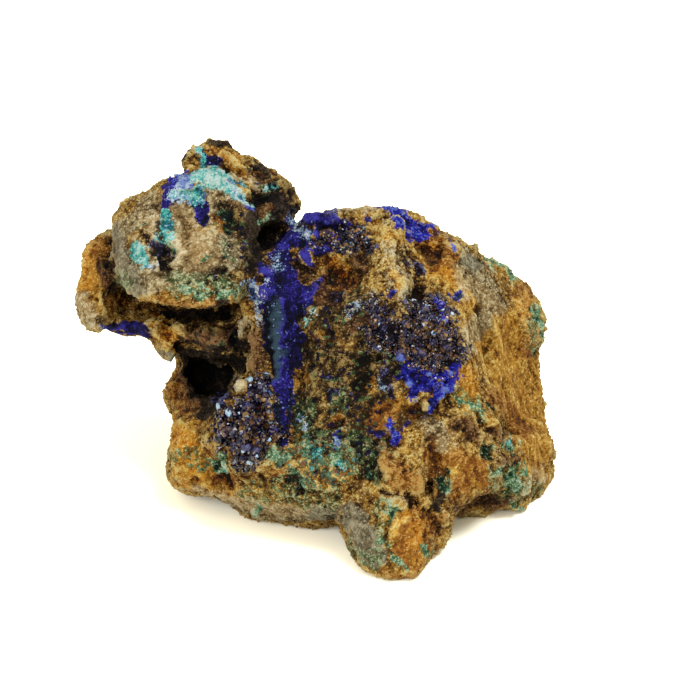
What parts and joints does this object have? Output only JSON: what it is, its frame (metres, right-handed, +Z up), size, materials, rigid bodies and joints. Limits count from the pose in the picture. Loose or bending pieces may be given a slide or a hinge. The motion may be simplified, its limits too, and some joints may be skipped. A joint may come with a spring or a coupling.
{
  "type": "azurite specimen",
  "caption": "Craggy hand specimen of iron-stained matrix rock carrying crusts of deep blue azurite crystals and pale green malachite.",
  "frame": {"origin": "on the table, under the middle of the specimen's bounding box", "axes": "+Z up, +X along the specimen's longest side, to the right as seen from the front, -Y towards the side that shows the crystals"},
  "size_m": [0.0484, 0.0352, 0.0324],
  "materials": {
    "matrix": "rough iron-stained rock, limonite and goethite",
    "azurite_druse_hollow": "glassy deep blue crystals",
    "azurite_druse_flank": "glassy deep blue crystals",
    "azurite_druse_shoulder": "glassy deep blue crystals",
    "malachite_crust": "silky pale green crust"
  },
  "bodies": {
    "root": {"matrix": "matrix", "azurite_druse_hollow": "azurite_druse_hollow", "azurite_druse_flank": "azurite_druse_flank", "azurite_druse_shoulder": "azurite_druse_shoulder", "malachite_crust": "malachite_crust"}
  },
  "joints": []
}
